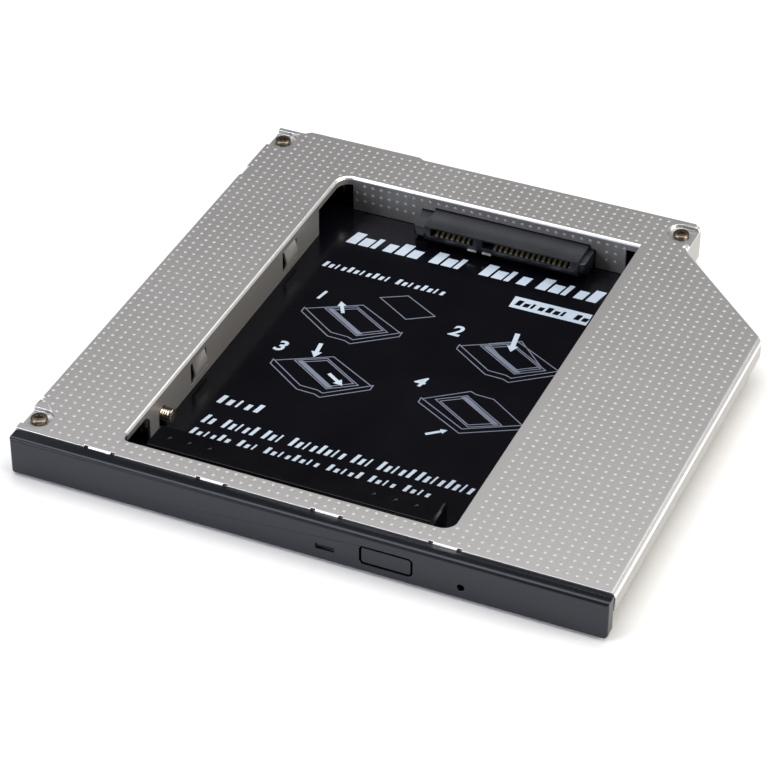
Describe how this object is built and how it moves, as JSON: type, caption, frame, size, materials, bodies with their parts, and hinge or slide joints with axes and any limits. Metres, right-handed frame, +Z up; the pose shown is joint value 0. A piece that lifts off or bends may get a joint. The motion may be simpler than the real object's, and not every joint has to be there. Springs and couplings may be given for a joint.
{
  "type": "laptop drive caddy",
  "caption": "Slim laptop bay caddy: folded tray, embossed cover with a drive window, front bezel with dummy button, sliding stop bar, and a board with drive and host connectors.",
  "frame": {"origin": "middle of the bounding box's underside", "axes": "+Z up out of the drive window, +Y from the bezel to the host connector, +X to the thin wing"},
  "size_m": [0.128, 0.13, 0.0095],
  "materials": {
    "cover_steel": "embossed, satin",
    "tray_steel": "satin",
    "bezel_plastic": "fine grain",
    "button_plastic": "fine grain",
    "bar_plastic": "matt",
    "film": "matt, printed",
    "stud_steel": "nickel plated",
    "board": "solder mask",
    "connector_plastic": "moulded",
    "contact_gold": "gold plated",
    "capacitor_ceramic": "ceramic",
    "screw_steel": "dark zinc",
    "pillar_brass": "turned"
  },
  "bodies": {
    "chassis": {"top_cover": "cover_steel", "base_tray": "tray_steel", "bay_rail": "tray_steel", "floor_film": "film", "bezel": "bezel_plastic", "locating_stud": "stud_steel", "adapter_board": "board", "drive_connector": "connector_plastic", "drive_signal_contacts": "contact_gold", "drive_power_contacts": "contact_gold", "host_connector": "connector_plastic", "host_signal_contacts": "contact_gold", "host_power_contacts": "contact_gold", "board_capacitors": "capacitor_ceramic", "cover_screw_front_left": "screw_steel", "cover_screw_rear_left": "screw_steel", "cover_screw_rear_right": "screw_steel", "pillar_front_left": "pillar_brass", "pillar_rear_left": "pillar_brass", "pillar_rear_right": "pillar_brass", "board_screw_left": "screw_steel", "board_screw_right": "screw_steel", "board_spacer_left": "pillar_brass", "board_spacer_right": "pillar_brass"},
    "button": {"eject_button": "button_plastic"},
    "bar": {"stop_bar": "bar_plastic"}
  },
  "joints": [
    {"name": "button_press", "type": "slide", "parent": "chassis", "child": "button", "axis": [0, 1, 0], "range_m": [0, 0.0005], "stiffness_N_per_m": 600},
    {"name": "stop_bar_slide", "type": "slide", "parent": "chassis", "child": "bar", "axis": [0, 1, 0], "range_m": [0, 0.004]}
  ]
}
